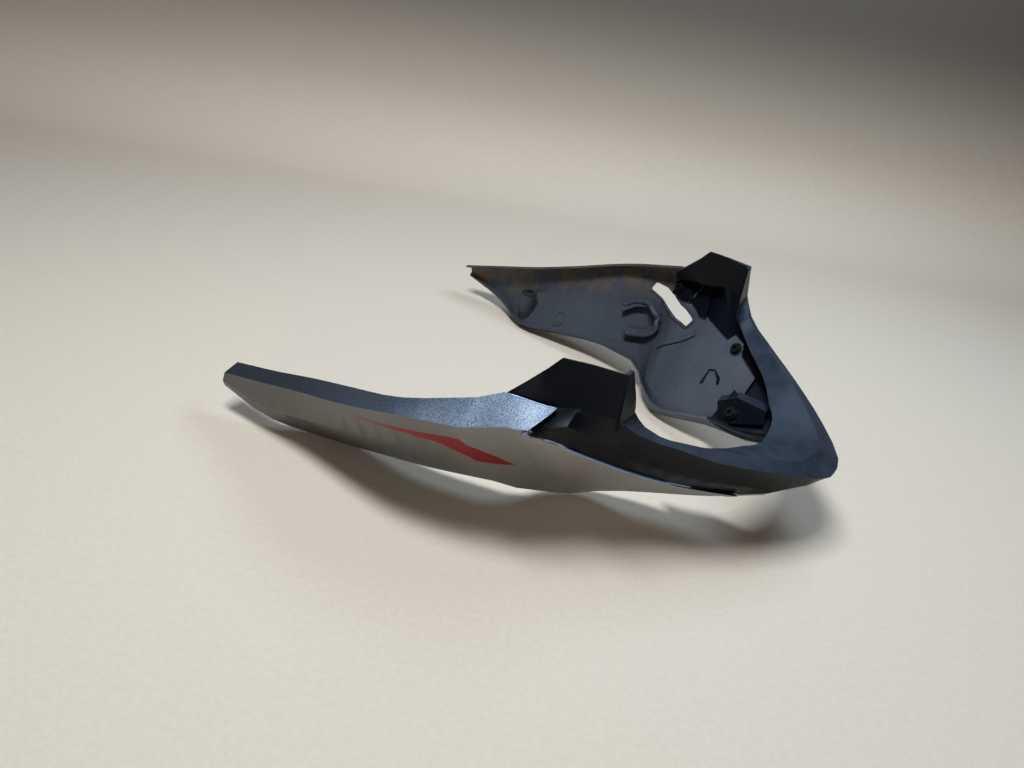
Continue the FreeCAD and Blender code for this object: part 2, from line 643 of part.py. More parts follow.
def screw(name, seat_name):
    """A flanged screw with a hexagon socket, seated on its pad with the shank pointing outward."""
    point, inward = frames[seat_name]
    seat = point + inward * seats[seat_name]
    turn = FreeCAD.Rotation(V(0, 0, 1), inward)
    pieces = []
    for part_name, wide, tall, base in (("flange", "flange_across", "flange_tall", 0.0),
                                        ("head", "head_across", "head_tall", 0.0)):
        made = doc.addObject("Part::Cylinder", name + "_" + part_name)
        made.setExpression("Radius", ref(wide) + " / 2")
        made.setExpression("Height", ref(tall))
        made.Placement = FreeCAD.Placement(seat + inward * base, turn)
        pieces.append(made)
    shank = doc.addObject("Part::Cylinder", name + "_shank")
    shank.setExpression("Radius", ref("shank_across") + " / 2")
    shank.setExpression("Height", ref("shank_long"))
    shank.Placement = FreeCAD.Placement(seat - inward * size("shank_long"), turn)
    if seat_name == "tab":
        shank.setExpression("Height", ref("shank_long") + " - 1")
        shank.Placement = FreeCAD.Placement(seat - inward * (size("shank_long") - 1), turn)
    pieces.append(shank)
    key = doc.addObject("Part::Prism", name + "_socket")
    key.Polygon = 6
    key.setExpression("Circumradius", ref("socket_across") + " / 1.732")
    key.Height = 6
    key.Placement = FreeCAD.Placement(seat + inward * (size("head_tall") - size("socket_deep")), turn)
    return cut(name, fuse(name + "_blank", pieces), key)


screws = [screw("screw_%s_left" % name, name) for name in ("tab", "arm", "bracket")]


def right_of(left, name):
    return feature("Part::Mirroring", name, Source=left, Normal=V(0, 1, 0), Base=V(0, 0, 0))


nodes = [panel_left_final, panel_right, cowl, grommet, sleeve] + screws
nodes.append(right_of(grommet, "rear_grommet_right"))
nodes.append(right_of(sleeve, "rear_sleeve_right"))
for made in screws:
    nodes.append(right_of(made, made.Name.replace("_left", "_right")))

doc.recompute()

# Every object is up to date and every shape is sound before anything is written
for made in doc.Objects:
    if "Invalid" in made.State or "Error" in made.State:
        raise RuntimeError("%s did not build: %s" % (made.Name, made.State))
    if hasattr(made, "Shape") and (made.Shape.isNull() or not made.Shape.isValid()):
        raise RuntimeError("%s has no sound shape" % made.Name)

os.makedirs("parts", exist_ok=True)
for node in nodes:
    node.Label = node.Name
    node.Shape.exportStep("parts/%s.step" % node.Name)
    box = node.Shape.BoundBox
    print(node.Name, len(node.Shape.Solids), round(node.Shape.Volume), "x %.1f..%.1f y %.1f..%.1f z %.1f..%.1f" % (
        box.XMin, box.XMax, box.YMin, box.YMax, box.ZMin, box.ZMax))
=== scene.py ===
"""Finishes and studio for a motorcycle belly pan: side panels, nose cowl, screws and rear mounts."""
import math

import bpy
from mathutils import Matrix, Vector
from mathutils.bvhtree import BVHTree


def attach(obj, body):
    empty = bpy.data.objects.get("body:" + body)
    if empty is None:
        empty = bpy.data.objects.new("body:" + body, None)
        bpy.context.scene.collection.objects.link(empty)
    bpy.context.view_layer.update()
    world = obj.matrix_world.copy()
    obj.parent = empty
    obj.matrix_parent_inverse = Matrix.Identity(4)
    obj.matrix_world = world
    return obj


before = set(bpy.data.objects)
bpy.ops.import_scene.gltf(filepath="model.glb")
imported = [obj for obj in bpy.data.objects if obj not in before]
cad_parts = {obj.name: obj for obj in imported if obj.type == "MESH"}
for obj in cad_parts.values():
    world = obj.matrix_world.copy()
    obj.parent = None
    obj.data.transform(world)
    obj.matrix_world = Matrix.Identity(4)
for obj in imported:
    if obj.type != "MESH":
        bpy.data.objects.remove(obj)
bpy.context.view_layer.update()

bl_info = {
    "name": "Belly Pan Finishes",
    "version": (1, 0, 0),
    "blender": (4, 5, 0),
    "location": "3D View > Sidebar > Belly Pan",
    "description": "Gives the packed belly pan its paint, plastics and metal, and sets up its studio",
    "category": "Material",
}

# The stripe's upper and lower edges in side view: distance forward and height, in metres
STRIPE_TOP = ((-0.081, 0.066), (-0.053, 0.072), (-0.036, 0.0755), (-0.015, 0.0785), (-0.003, 0.0807),
              (0.005, 0.081), (0.0136, 0.0698), (0.0213, 0.0577), (0.0264, 0.045))
STRIPE_BOTTOM = ((-0.081, 0.066), (-0.054, 0.069), (-0.037, 0.0713), (-0.0145, 0.0703), (-0.009, 0.0692),
                 (0.001, 0.0632), (0.007, 0.060), (0.0105, 0.0547), (0.0194, 0.048), (0.0264, 0.045))
STRIPE_SPAN = (-0.081, 0.0264)
STRIPE_TALLEST = 0.1
STRIPE_SOFTNESS = 0.0002
STRIPE_END_SOFTNESS = 0.0005

# Where a panel is painted, as ranges of a face's direction and of places on the part
FACES_OUT = (0.0, 0.06)
FACES_UP = (0.25, 0.35)
FOOT_HEIGHT = (0.027, 0.030)
CUT_EDGE_TILT = 0.02
CUT_EDGE_SLOPE = (0.1, 0.2)
NOTCH_PLACE = (0.044, 0.046)

# Ranges along the part, from tail to nose, over which painted shade and painted light change the paint and
# its band, and over which the inside and the cowl's dusting and painted sheen change
PAINTED_TAIL_SHADE = (-0.19, 0.08)
PAINTED_NOSE_LIGHT = (-0.03, 0.10)
PAINTED_BAND_TAIL_SHADE = (-0.18, 0.0)
BAND_HIGHLIGHT_SPAN = (-0.16, 0.02)
OVERSPRAY_PLACE = (0.02, 0.09)
DUST_AND_SHEEN_PLACE = (0.07, 0.085)

# The line above which dirt lies inside a panel: its rise toward the nose, and its heights at the middle
DIRT_RISE = 0.32
DIRT_HEIGHT = (0.062, 0.095)

# Widths of the features of each pattern, in metres
FLAKE = 0.00032
EDGE_FLAKE = 0.0005
CLOUD = 0.03
GRIME = 0.018
SPECK = 0.0012
SCUFF = 0.004
DUST_AND_SHEEN_PATCH = 0.02
DUST_SPECK = 0.0011
FINE_DEPTH = 0.0002

# Flakes of the top band, lighter and bluish: part flake colour, part painted bluish sheen
BAND_FLAKE_AND_SHEEN = (0.46, 0.57, 0.72)
CREASE_ANGLE = 24.0
MERGE_DISTANCE = 0.000002

# Rolled edge along a left panel's top band to its tip, in metres
BAND_EDGE = ((0.023, 0.1715, 0.118), (0.035, 0.1685, 0.1175), (0.051, 0.164, 0.1165), (0.057, 0.162, 0.1163))

# The notch's edge in side view, as forward and height, and where the blade's edge is looked for
NOTCH_EDGE = ((0.0569, 0.1154), (0.0533, 0.1107), (0.0497, 0.1061))
BLADE_START = (0.0515, 0.085)
BLADE_END = (0.152, 0.036)
BLADE_FALL = 2.2
BLADE_STEPS = 44
BLADE_TOP = 0.110
SEARCH_STEP = 0.0002
EDGE_LIFT = 0.0007

# Radii of the beads, and how deep the hook's crest is sunk into its rib
THIN_EDGE = 0.0005
BLADE_BEAD = 0.0013
HOOK_BEAD = 0.0026
SLOT_BEAD = 0.0013
HOOK_SINK = 0.0012

# Inside a panel, in side view: the hook's crest, the slot's rim, and the pocket with its tongue
HOOK_LINE = ((-0.029, 0.056), (-0.015, 0.0655), (0.001, 0.070), (0.015, 0.0655), (0.0205, 0.057),
             (0.0145, 0.048), (0.0, 0.0415), (-0.013, 0.039))
SLOT_CORNERS = ((-0.009, 0.0775), (-0.0055, 0.0865), (0.007, 0.0865), (0.0215, 0.085), (0.0405, 0.082),
                (0.055, 0.078), (0.050, 0.069), (0.022, 0.0715))
SLOT_ROUNDING = 0.003
SLOT_LOOK = (0.0012, 0.003)
POCKET_EDGE = ((0.0883, 0.0445), (0.0918, 0.0567), (0.0976, 0.0586), (0.1046, 0.0553), (0.1056, 0.0515))
TONGUE_EDGE = ((0.0912, 0.0435), (0.0928, 0.0542), (0.0974, 0.0567), (0.1017, 0.0537), (0.1042, 0.0490))
POCKET_LIFT = 0.0003
OUTSIDE = 0.3

# The photograph's camera: where it stands and which way it faces
CAMERA_PLACE = Vector((0.2152, -0.5528, 0.3630))
CAMERA_RIGHT = Vector((0.84763, 0.50919, 0.14918))
CAMERA_UP = Vector((-0.36515, 0.35582, 0.86026))
CAMERA_BACK = Vector((0.38495, -0.78366, 0.48754))

# Each lamp: its power's property, place, target, width, height and colour
LAMPS = {
    "key_lamp": ("key_power", (-0.1, -0.33, 1.2), (0.0, 0.0, 0.0), 0.5, 0.25, (0.84, 0.92, 1.0)),
    "back_lamp": ("back_power", (0.25, 0.5, 0.85), (0.1, 0.0, 0.0), 0.6, 0.35, (0.62, 0.8, 1.0)),
    "fill_lamp": ("fill_power", (0.75, -2.1, 0.5), (0.05, -0.1, 0.05), 0.8, 0.3, (1.0, 0.97, 0.93)),
}
AIR_COLOUR = (1.0, 0.95, 0.9)

# The paper floor in side view, how far it is turned, and how painted shade darkens its backdrop with height
FLOOR_NEAR = -3.0
FLOOR_BEND = 0.62
BEND_RADIUS = 0.15
BEND_STEPS = 12
BACKDROP_HEIGHT = 3.0
FLOOR_HALF_WIDTH = 4.0
FLOOR_TURN = 26.2
FLOOR_DROP = 0.0002
FIBRE = 0.004
BACKDROP_SHADE_HEIGHTS = (0.0, 0.36)
BACKDROP_PAINTED_SHADE = 0.16


class BellyPanPaint(bpy.types.PropertyGroup):
    """Colours of the painted side panels"""

    paint: bpy.props.FloatVectorProperty(
        name="Paint", description="Warm grey metallic of the panels' sides", subtype="COLOR", size=3,
        min=0.0, max=1.0, default=(0.2, 0.194, 0.186))
    band: bpy.props.FloatVectorProperty(
        name="Top band", description="Darker metallic of the sloping top band", subtype="COLOR", size=3,
        min=0.0, max=1.0, default=(0.03, 0.042, 0.066))
    stripe: bpy.props.FloatVectorProperty(
        name="Stripe", description="Red of the tapered stripe", subtype="COLOR", size=3,
        min=0.0, max=1.0, default=(0.27, 0.008, 0.01))
    inside: bpy.props.FloatVectorProperty(
        name="Inside", description="Bare plastic of the inner faces", subtype="COLOR", size=3,
        min=0.0, max=1.0, default=(0.034, 0.041, 0.055))
    dirt: bpy.props.FloatVectorProperty(
        name="Road dirt", description="Brown film along the inner top edge", subtype="COLOR", size=3,
        min=0.0, max=1.0, default=(0.085, 0.058, 0.04))


class BellyPanCowl(bpy.types.PropertyGroup):
    """Colours of the black nose cowl and the fittings"""

    plastic: bpy.props.FloatVectorProperty(
        name="Plastic", description="Moulded black plastic", subtype="COLOR", size=3,
        min=0.0, max=1.0, default=(0.0025, 0.0038, 0.007))
    # Bluish film on upward faces: partly dusting, partly a painted sheen.
    dust_and_sheen: bpy.props.FloatVectorProperty(
        name="Dust", description="Bluish film on the cowl's upward faces", subtype="COLOR", size=3,
        min=0.0, max=1.0, default=(0.085, 0.115, 0.165))
    grain: bpy.props.FloatProperty(
        name="Grain", description="Width of one pebble of the moulded grain", unit="LENGTH",
        min=0.0001, max=0.003, default=0.0006)


class BellyPanStage(bpy.types.PropertyGroup):
    """Sizes and light of the studio"""

    floor: bpy.props.FloatVectorProperty(
        name="Floor", description="Pale floor and backdrop", subtype="COLOR", size=3,
        min=0.0, max=1.0, default=(0.80, 0.69, 0.565))
    key_power: bpy.props.FloatProperty(
        name="Key light", description="Power of the lamp above the part", unit="POWER",
        min=0.0, max=200.0, default=12.5)
    back_power: bpy.props.FloatProperty(
        name="Back light", description="Power of the wide lamp above and behind the part", unit="POWER",
        min=0.0, max=200.0, default=3.5)
    fill_power: bpy.props.FloatProperty(
        name="Fill light", description="Power of the low, far lamp beside the part", unit="POWER",
        min=0.0, max=200.0, default=4.5)
    ambient: bpy.props.FloatProperty(
        name="Ambient", description="Strength of the even light all round", min=0.0, max=2.0, default=0.1)
    focal_length: bpy.props.FloatProperty(
        name="Focal length", description="Focal length in millimetres, on a 36 mm wide sensor",
        min=10.0, max=200.0, default=27.035)


# Material building

def new_material(name):
    """An empty node material with a shader, and its tree."""
    material = bpy.data.materials.new(name)
    material.use_nodes = True
    tree = material.node_tree
    shader = tree.nodes["Principled BSDF"]
    return material, tree, shader


def add_node(tree, kind, **settings):
    """A new node with its settings."""
    node = tree.nodes.new(kind)
    for key, value in settings.items():
        setattr(node, key, value)
    return node


def math_node(tree, operation, *operands, clamp=False):
    """A Math node; each operand is a number or a socket."""
    node = add_node(tree, "ShaderNodeMath", operation=operation, use_clamp=clamp)
    for number, operand in enumerate(operands):
        if isinstance(operand, (int, float)):
            node.inputs[number].default_value = operand
        else:
            tree.links.new(operand, node.inputs[number])
    return node.outputs[0]


def product(tree, *factors):
    """The product of numbers and sockets."""
    result = factors[0]
    for factor in factors[1:]:
        result = math_node(tree, "MULTIPLY", result, factor)
    return result


def remainder(tree, share):
    """What a share leaves of 1."""
    return math_node(tree, "SUBTRACT", 1.0, share)


def scaled(colour, factor):
    """A lighter or darker colour, with no channel past 1."""
    return tuple(min(1.0, factor * channel) for channel in colour)


def ramp(tree, value, low, high, start=0.0, end=1.0, smooth=True):
    """Maps a value from low..high to start..end."""
    node = add_node(tree, "ShaderNodeMapRange")
    if smooth:
        node.interpolation_type = "SMOOTHSTEP"
    tree.links.new(value, node.inputs["Value"])
    node.inputs["From Min"].default_value = low
    node.inputs["From Max"].default_value = high
    node.inputs["To Min"].default_value = start
    node.inputs["To Max"].default_value = end
    return node.outputs["Result"]


def mix_colour(tree, share, first, second):
    """Mixes two colours, each a tuple or a socket."""
    node = add_node(tree, "ShaderNodeMix", data_type="RGBA")
    if isinstance(share, (int, float)):
        node.inputs["Factor"].default_value = share
    else:
        tree.links.new(share, node.inputs["Factor"])
    for socket, colour in ((node.inputs[6], first), (node.inputs[7], second)):
        if isinstance(colour, bpy.types.NodeSocket):
            tree.links.new(colour, socket)
        else:
            socket.default_value = (*colour, 1.0)
    return node.outputs[2]


def noise(tree, position, size, detail=2.0, stretch=(1, 1, 1), rough=0.5):
    """Noise whose features are about size metres wide."""
    mapping = add_node(tree, "ShaderNodeMapping")
    mapping.inputs["Scale"].default_value = stretch
    tree.links.new(position, mapping.inputs["Vector"])
    node = add_node(tree, "ShaderNodeTexNoise")
    node.inputs["Scale"].default_value = 1.0 / size
    node.inputs["Detail"].default_value = detail
    node.inputs["Roughness"].default_value = rough
    tree.links.new(mapping.outputs[0], node.inputs["Vector"])
    return node.outputs["Fac"]


def surface_place(tree):
    """Position on the object as a vector and its parts, and the parts of the face normal."""
    coords = add_node(tree, "ShaderNodeTexCoord")
    place = add_node(tree, "ShaderNodeSeparateXYZ")
    tree.links.new(coords.outputs["Object"], place.inputs[0])
    geometry = add_node(tree, "ShaderNodeNewGeometry")
    facing = add_node(tree, "ShaderNodeSeparateXYZ")
    tree.links.new(geometry.outputs["True Normal"], facing.inputs[0])
    return coords.outputs["Object"], place.outputs, facing.outputs


def edge_height(tree, forward, points):
    """Height of a hand-drawn edge at a distance forward, as a curve through its points."""
    start, end = STRIPE_SPAN
    along = ramp(tree, forward, start, end, smooth=False)
    curve = add_node(tree, "ShaderNodeFloatCurve")
    line = curve.mapping.curves[0]
    knots = [((x - start) / (end - start), z / STRIPE_TALLEST) for x, z in points]
    line.points[0].location = knots[0]
    line.points[1].location = knots[-1]
    for knot in knots[1:-1]:
        line.points.new(*knot)
    for point in line.points:
        point.handle_type = "VECTOR"
    curve.mapping.update()
    tree.links.new(along, curve.inputs["Value"])
    return math_node(tree, "MULTIPLY", curve.outputs[0], STRIPE_TALLEST)


def bump(tree, shader, height, strength, distance):
    """Fine relief in a material's surface."""
    node = add_node(tree, "ShaderNodeBump")
    node.inputs["Strength"].default_value = strength
    node.inputs["Distance"].default_value = distance
    tree.links.new(height, node.inputs["Height"])
    tree.links.new(node.outputs[0], shader.inputs["Normal"])


def painted_zone(tree, place, facing):
    """Shares of a panel's skin that are painted, and that are its sloping top band."""
    x, y, z = place
    ny, nz = facing[1:]
    faces_out = ramp(tree, product(tree, ny, math_node(tree, "SIGN", y)), *FACES_OUT)
    top_face = ramp(tree, nz, *FACES_UP)
    lip_top = product(tree, top_face, ramp(tree, z, *FOOT_HEIGHT, 1.0, 0.0))
    painted = product(tree, faces_out, remainder(tree, lip_top))
    cut_edge = math_node(tree, "LESS_THAN", math_node(tree, "ABSOLUTE", ny), CUT_EDGE_TILT)
    front = product(tree, ramp(tree, x, *NOTCH_PLACE), ramp(tree, nz, *CUT_EDGE_SLOPE))
    painted = math_node(tree, "MAXIMUM", painted, product(tree, cut_edge, front))
    return painted, product(tree, painted, top_face)


def stripe_zone(tree, x, z):
    """Share of a panel's side that the stripe covers."""
    start, end = STRIPE_SPAN
    over = math_node(tree, "SUBTRACT", edge_height(tree, x, STRIPE_TOP), z)
    under = math_node(tree, "SUBTRACT", z, edge_height(tree, x, STRIPE_BOTTOM))
    soft = (-STRIPE_SOFTNESS, STRIPE_SOFTNESS)
    first = ramp(tree, x, start, start + STRIPE_END_SOFTNESS)
    last = ramp(tree, x, end - STRIPE_END_SOFTNESS, end, 1.0, 0.0)
    return product(tree, ramp(tree, over, *soft), ramp(tree, under, *soft), first, last)


def outside_colour(tree, colours, position, x, band, flakes):
    """The paint's colour, darkened toward the tail by painted shade and made lighter toward the nose by
    painted light, and the share of it that is bright flakes.
    """
    clouds = noise(tree, position, CLOUD, 3.0)
    cloudy = ramp(tree, clouds, 0.3, 0.7, 0.0, 0.25)
    body = mix_colour(tree, cloudy, tuple(colours.paint), scaled(colours.paint, 0.85))
    # Painted shade darkens the paint toward the tail; painted light makes it lighter toward the nose.
    body = mix_colour(tree, ramp(tree, x, *PAINTED_TAIL_SHADE, 1.0, 0.0), body, scaled(colours.paint, 0.45))
    body = mix_colour(tree, ramp(tree, x, *PAINTED_NOSE_LIGHT), body, scaled(colours.paint, 2.5))
    # Painted shade darkens the top band toward the tail.
    band_with_painted_shade = mix_colour(tree, ramp(tree, x, *PAINTED_BAND_TAIL_SHADE), scaled(colours.band, 0.35), tuple(colours.band))
    body = mix_colour(tree, band, body, band_with_painted_shade)
    # Painted highlight: bright flakes grow thicker toward the front of the top band.
    band_highlight_flakes = product(tree, band, ramp(tree, x, *BAND_HIGHLIGHT_SPAN, 0.0, 0.6))
    flake_share = product(tree, ramp(tree, flakes, 0.45, 0.7), math_node(tree, "ADD", 0.2, band_highlight_flakes))
    # The band's flakes take a light bluish colour that is partly a painted sheen.
    spark = mix_colour(tree, band, scaled(colours.paint, 2.2), BAND_FLAKE_AND_SHEEN)
    return mix_colour(tree, flake_share, body, spark), flake_share


def inside_colour(tree, colours, position, x, z):
    """Bare plastic with specks, dirt along its top, overspray toward the nose and scuffs."""
    grime = noise(tree, position, GRIME, 4.0, rough=0.65)
    specks = ramp(tree, noise(tree, position, SPECK, 2.0), 0.5, 0.75, 0.0, 0.35)
    colour = mix_colour(tree, specks, tuple(colours.inside), scaled(colours.inside, 1.8))
    height = math_node(tree, "SUBTRACT", z, product(tree, x, DIRT_RISE))
    dirt = product(tree, ramp(tree, height, *DIRT_HEIGHT), ramp(tree, grime, 0.44, 0.54))
    colour = mix_colour(tree, dirt, colour, tuple(colours.dirt))
    overspray = product(tree, ramp(tree, x, *OVERSPRAY_PLACE), ramp(tree, grime, 0.2, 0.7, 0.55, 1.0))
    colour = mix_colour(tree, overspray, colour, scaled(colours.inside, 2.1))
    scuffs = ramp(tree, noise(tree, position, SCUFF, 3.0, stretch=(0.25, 1, 1)), 0.62, 0.7, 0.0, 0.3)
    return mix_colour(tree, scuffs, colour, scaled(colours.inside, 2.3))


def panel_paint(colours):
    """Metallic paint outside, bare plastic with overspray and dirt inside, a red stripe on the side."""
    material, tree, shader = new_material("panel_paint")
    position, place, facing = surface_place(tree)
    x, y, z = place
    painted, band = painted_zone(tree, place, facing)
    flakes = noise(tree, position, FLAKE, 1.0)
    outside, flake_share = outside_colour(tree, colours, position, x, band, flakes)
    stripe = product(tree, stripe_zone(tree, x, z), painted, remainder(tree, band))
    outside = mix_colour(tree, stripe, outside, tuple(colours.stripe))
    inside = inside_colour(tree, colours, position, x, z)
    tree.links.new(mix_colour(tree, painted, inside, outside), shader.inputs["Base Color"])
    metallic = math_node(tree, "SUBTRACT", 0.4, product(tree, stripe, 0.2))
    metallic = math_node(tree, "ADD", metallic, flake_share, clamp=True)
    tree.links.new(product(tree, painted, metallic), shader.inputs["Metallic"])
    paint_rough = ramp(tree, flakes, 0.3, 0.8, 0.4, 0.5, smooth=False)
    paint_rough = math_node(tree, "ADD", paint_rough, product(tree, band, 0.06))
    plastic_rough = product(tree, remainder(tree, painted), 0.6)
    rough = math_node(tree, "ADD", product(tree, painted, paint_rough), plastic_rough)
    tree.links.new(rough, shader.inputs["Roughness"])
    shader.inputs["Coat Weight"].default_value = 0.15
    shader.inputs["Coat Roughness"].default_value = 0.25
    bump(tree, shader, flakes, 0.12, FINE_DEPTH)
    return material


def edge_paint(colours):
    """Glossy paint of the rolled edges, many times lighter than the band's paint as a painted highlight."""
    material, tree, shader = new_material("edge_paint")
    position, place, facing = surface_place(tree)
    flakes = noise(tree, position, EDGE_FLAKE, 1.0)
    share = ramp(tree, flakes, 0.4, 0.7)
    # Painted highlight: the band's colour made eight to twelve times lighter.
    colour = mix_colour(tree, share, scaled(colours.band, 8.0), scaled(colours.band, 12.0))
    tree.links.new(colour, shader.inputs["Base Color"])
    tree.links.new(ramp(tree, flakes, 0.3, 0.8, 0.22, 0.32, smooth=False), shader.inputs["Roughness"])
    shader.inputs["Metallic"].default_value = 0.3
    shader.inputs["Coat Weight"].default_value = 0.4
    shader.inputs["Coat Roughness"].default_value = 0.12
    return material


def inner_plastic(colours):
    """Grey plastic of the panels' inner ribs, worn lighter on its crests."""
    material, tree, shader = new_material("inner_plastic")
    position, place, facing = surface_place(tree)
    worn = noise(tree, position, SCUFF, 3.0)
    colour = mix_colour(tree, ramp(tree, worn, 0.4, 0.7), tuple(colours.inside), scaled(colours.inside, 1.8))
    tree.links.new(colour, shader.inputs["Base Color"])
    tree.links.new(ramp(tree, worn, 0.3, 0.7, 0.42, 0.58), shader.inputs["Roughness"])
    bump(tree, shader, noise(tree, position, 0.0008, 2.0), 0.2, FINE_DEPTH)
    return material


def cowl_plastic(colours):
    """Moulded black plastic with a fine grain and a thin bluish film on what faces up, part dusting and part
    painted sheen.
    """
    material, tree, shader = new_material("cowl_plastic")
    position, place, facing = surface_place(tree)
    pebble = noise(tree, position, colours.grain, 2.0)
    patches = noise(tree, position, DUST_AND_SHEEN_PATCH, 4.0, rough=0.6)
    specks = noise(tree, position, DUST_SPECK, 1.0)
    # Painted sheen mixed with dusting: upward faces toward the nose get a bluish film.
    up = product(tree, ramp(tree, facing[2], 0.5, 0.95), ramp(tree, place[0], *DUST_AND_SHEEN_PLACE))
    film = product(tree, up, ramp(tree, patches, 0.3, 0.75, 0.22, 0.42))
    dust_and_sheen = math_node(tree, "ADD", film, product(tree, up, ramp(tree, specks, 0.68, 0.75, 0.0, 0.18)))
    colour = mix_colour(tree, dust_and_sheen, tuple(colours.plastic), tuple(colours.dust_and_sheen))
    tree.links.new(colour, shader.inputs["Base Color"])
    tree.links.new(ramp(tree, patches, 0.3, 0.7, 0.3, 0.4, smooth=False), shader.inputs["Roughness"])
    shader.inputs["Specular IOR Level"].default_value = 0.11
    bump(tree, shader, pebble, 0.25, FINE_DEPTH)
    return material


def grommet_rubber():
    """Dull rubber with a pale bloom."""
    material, tree, shader = new_material("grommet_rubber")
    position, place, facing = surface_place(tree)
    bloom = noise(tree, position, 0.003, 3.0)
    colour = mix_colour(tree, ramp(tree, bloom, 0.4, 0.7), (0.012, 0.012, 0.012), (0.03, 0.029, 0.028))
    tree.links.new(colour, shader.inputs["Base Color"])
    tree.links.new(ramp(tree, bloom, 0.3, 0.7, 0.6, 0.8), shader.inputs["Roughness"])
    bump(tree, shader, bloom, 0.2, 0.0003)
    return material


def turned_metal(name, bright, dark, roughness):
    """Plated metal with fine turning marks and a few dull patches."""
    material, tree, shader = new_material(name)
    position, place, facing = surface_place(tree)
    marks = noise(tree, position, 0.0004, 2.0, stretch=(1, 1, 6))
    patches = noise(tree, position, 0.002, 3.0)
    colour = mix_colour(tree, ramp(tree, patches, 0.4, 0.7), bright, dark)
    tree.links.new(colour, shader.inputs["Base Color"])
    rough = ramp(tree, marks, 0.2, 0.8, roughness - 0.07, roughness + 0.1)
    tree.links.new(rough, shader.inputs["Roughness"])
    shader.inputs["Metallic"].default_value = 1.0
    bump(tree, shader, marks, 0.15, 0.0001)
    return material


def crease_shading():
    """Shades gently bent faces as one smooth surface and keeps every crease sharp."""
    tree = bpy.data.node_groups.get("crease_shading")
    if tree:
        return tree
    tree = bpy.data.node_groups.new("crease_shading", "GeometryNodeTree")
    tree.interface.new_socket("Geometry", in_out="INPUT", socket_type="NodeSocketGeometry")
    tree.interface.new_socket("Geometry", in_out="OUTPUT", socket_type="NodeSocketGeometry")
    start = add_node(tree, "NodeGroupInput")
    end = add_node(tree, "NodeGroupOutput")
    merge = add_node(tree, "GeometryNodeMergeByDistance")
    merge.inputs["Distance"].default_value = MERGE_DISTANCE
    angle = add_node(tree, "GeometryNodeInputMeshEdgeAngle")
    sharp = math_node(tree, "GREATER_THAN", angle.outputs["Unsigned Angle"], math.radians(CREASE_ANGLE))
    shade = add_node(tree, "GeometryNodeSetMeshNormal")
    shade.inputs["Remove Custom"].default_value = True
    tree.links.new(start.outputs[0], merge.inputs["Geometry"])
    tree.links.new(merge.outputs[0], shade.inputs["Mesh"])
    tree.links.new(sharp, shade.inputs["Edge Sharpness"])
    tree.links.new(shade.outputs[0], end.inputs[0])
    return tree


def dress(names, material):
    """Gives CAD nodes a material and crease shading."""
    for name in names:
        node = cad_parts[name]
        node.data.materials.clear()
        node.data.materials.append(material)
        node.modifiers.new("crease_shading", "NODES").node_group = crease_shading()


def nodes_like(stem):
    """Names of the CAD nodes that begin with a stem."""
    return sorted(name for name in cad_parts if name.startswith(stem))


# Small formed edges that lie on the panels and on the cowl's rim

def node_surface(name):
    """A CAD node's faces, for finding places on it."""
    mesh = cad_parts[name].data
    corners = [vertex.co for vertex in mesh.vertices]
    return BVHTree.FromPolygons(corners, [face.vertices for face in mesh.polygons])


def smooth_run(points, steps):
    """Points on a smooth curve through the given ones."""
    points = [Vector(point) for point in points]
    run = []
    for number in range(len(points) - 1):
        first, last = points[number], points[number + 1]
        before = points[number - 1] if number else 2 * first - last
        after = points[number + 2] if number + 2 < len(points) else 2 * last - first
        for step in range(steps):
            t = step / steps
            bow = 2 * before - 5 * first + 4 * last - after
            twist = 3 * first - before - 3 * last + after
            run.append(0.5 * (2 * first + (last - before) * t + bow * t ** 2 + twist * t ** 3))
    return run + [points[-1]]


def bead(name, points, radius, material, closed=False, taper=0.35):
    """A rounded bead along points, thinner at its ends unless it is closed."""
    curve = bpy.data.curves.new(name, "CURVE")
    curve.dimensions = "3D"
    curve.bevel_depth = radius
    curve.bevel_resolution = 3
    curve.use_fill_caps = not closed
    spline = curve.splines.new("POLY")
    spline.points.add(len(points) - 1)
    spline.use_cyclic_u = closed
    spline.use_smooth = True
    for number, (knot, point) in enumerate(zip(spline.points, points)):
        knot.co = (*point, 1.0)
        ends = min(number, len(points) - 1 - number)
        knot.radius = 1.0 if closed else min(1.0, taper + (1.0 - taper) * ends / 3)
    piece = bpy.data.objects.new(name, curve)
    bpy.context.scene.collection.objects.link(piece)
    piece.data.materials.append(material)
    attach(piece, "root")
    return piece


def on_skin(surface, side, points):
    """Points of a smooth run laid on the panel's skin."""
    laid = []
    for point in smooth_run(points, 6):
        place, normal, face, reach = surface.find_nearest(Vector((point.x, side * point.y, point.z)))
        laid.append(place)
    return laid


def look_in(surface, side, forward, height):
    """Where a level line from outside first meets a surface, and how far it ran; None where it misses."""
    start = Vector((forward, side * OUTSIDE, height))
    place, normal, face, reach = surface.ray_cast(start, Vector((0.0, -side, 0.0)))
    return place, reach


def from_outside(surface, side, points):
    """Points of a smooth run in side view, laid on the panel's outer face."""
    laid = []
    for point in smooth_run(points, 4):
        place, reach = look_in(surface, side, point.x, point.y)
        if place is not None:
            laid.append(place)
    return laid


